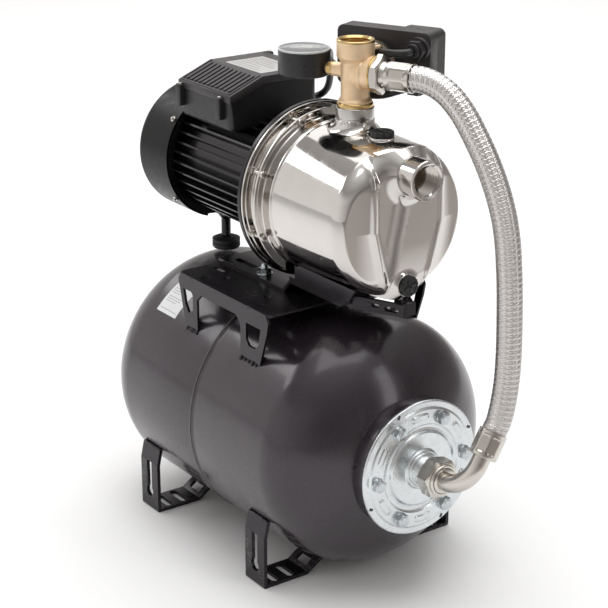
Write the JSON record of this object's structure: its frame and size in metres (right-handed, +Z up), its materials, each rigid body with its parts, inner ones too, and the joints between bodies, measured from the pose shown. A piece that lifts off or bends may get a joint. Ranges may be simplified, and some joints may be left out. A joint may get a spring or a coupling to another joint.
{
  "type": "shallow well jet pump",
  "caption": "Self-priming stainless jet pump on a horizontal pressure tank, with brass fitting, gauge, pressure switch and braided hose.",
  "frame": {"origin": "on the floor plane, in the middle between the feet, under the tank's axis", "axes": "+X along the tank and shaft towards the suction port, +Z up, +Y to the left seen from the motor"},
  "size_m": [0.5472, 0.401, 0.579],
  "materials": {
    "tank_black": "gloss powder coat",
    "frame_black": "satin powder coat",
    "motor_black": "gloss black paint on die-cast aluminium",
    "stem_steel": "satin black",
    "stainless": "polished stainless sheet",
    "zinc": "bright bluish zinc plating",
    "screw_steel": "zinc plated",
    "nickel": "satin nickel plating on brass",
    "braid": "woven stainless wire",
    "brass": "matte sand-cast brass with machined rims",
    "black_rubber": "matte",
    "lead_black": "satin cable sheath",
    "textured_plastic": "fine moulded texture",
    "inner_plastic": "glass filled",
    "gauge_black": "satin moulded",
    "dial_white": "printed dial",
    "lens_clear": "clear",
    "lamination": "stacked steel laminations",
    "copper": "enamelled copper wire",
    "machined_steel": "ground",
    "seal_carbon": "carbon ring with rubber bellows",
    "capacitor_can": "drawn can"
  },
  "bodies": {
    "booster": {"tank_rear_shell": "tank_black", "tank_front_shell": "tank_black", "tank_neck_collar": "tank_black", "tank_bladder": "black_rubber", "counter_flange": "zinc", "hex_bolts": "zinc", "air_valve": "brass", "foot_front": "frame_black", "foot_rear": "frame_black", "pump_console": "frame_black", "pump_foot": "frame_black", "motor_foot_stem": "stem_steel", "motor_foot_pad": "black_rubber", "pump_casing": "stainless", "back_plate": "stainless", "casing_screws": "stainless", "suction_socket": "stainless", "outlet_socket": "stainless", "diffuser": "inner_plastic", "ejector": "inner_plastic", "motor_adapter": "motor_black", "motor_housing": "motor_black", "rear_end_shield": "motor_black", "stator_core": "lamination", "stator_windings": "copper", "bearing_outer_rings": "machined_steel", "fan_cover": "textured_plastic", "terminal_box": "textured_plastic", "terminal_box_lid": "textured_plastic", "small_screws": "screw_steel", "capacitor": "capacitor_can", "five_way_fitting": "brass", "gauge_stem": "brass", "gauge_case": "gauge_black", "gauge_dial": "dial_white", "gauge_lens": "lens_clear", "switch_flange": "screw_steel", "switch_base": "textured_plastic", "switch_cover": "textured_plastic", "cable_glands": "textured_plastic", "hose_nipple": "nickel", "hose_ferrules": "nickel", "braided_hose": "braid", "hose_elbow": "nickel", "hose_union_nut": "nickel", "motor_lead": "lead_black", "mains_lead": "lead_black", "mains_coil": "lead_black", "mains_plug": "lead_black"},
    "rotor": {"rotor_shaft": "machined_steel", "rotor_core": "lamination", "cooling_fan": "textured_plastic", "impeller": "brass", "shaft_seal": "seal_carbon", "bearing_inner_rings": "machined_steel"},
    "needle": {"gauge_needle": "gauge_black"},
    "contact_lever": {"switch_lever": "screw_steel"},
    "priming_cap": {"priming_plug": "textured_plastic"},
    "drain_cap": {"drain_plug": "textured_plastic"},
    "valve_cap": {"air_valve_cap": "textured_plastic"}
  },
  "joints": [
    {"name": "rotor_spin", "type": "hinge", "parent": "booster", "child": "rotor", "pos_m": [0, 0, 0.4042], "axis": [1, 0, 0], "continuous": true},
    {"name": "gauge_needle_turn", "type": "hinge", "parent": "booster", "child": "needle", "pos_m": [0.05559, -0.0244, 0.556], "axis": [0, 0, 1], "range_deg": [-270, 0]},
    {"name": "switch_lever_rock", "type": "hinge", "parent": "booster", "child": "contact_lever", "pos_m": [0.05291, 0.0357, 0.547], "axis": [0, 0, 1], "range_deg": [-1.5, 1.5], "stiffness_Nm_per_rad": 0.2},
    {"name": "priming_plug_out", "type": "slide", "parent": "booster", "child": "priming_cap", "axis": [0, 0, 1], "range_m": [0, 0.02]},
    {"name": "drain_plug_out", "type": "slide", "parent": "booster", "child": "drain_cap", "axis": [1, 0, 0], "range_m": [0, 0.026]},
    {"name": "valve_cap_off", "type": "slide", "parent": "booster", "child": "valve_cap", "axis": [-1, 0, 0], "range_m": [0, 0.012]}
  ]
}
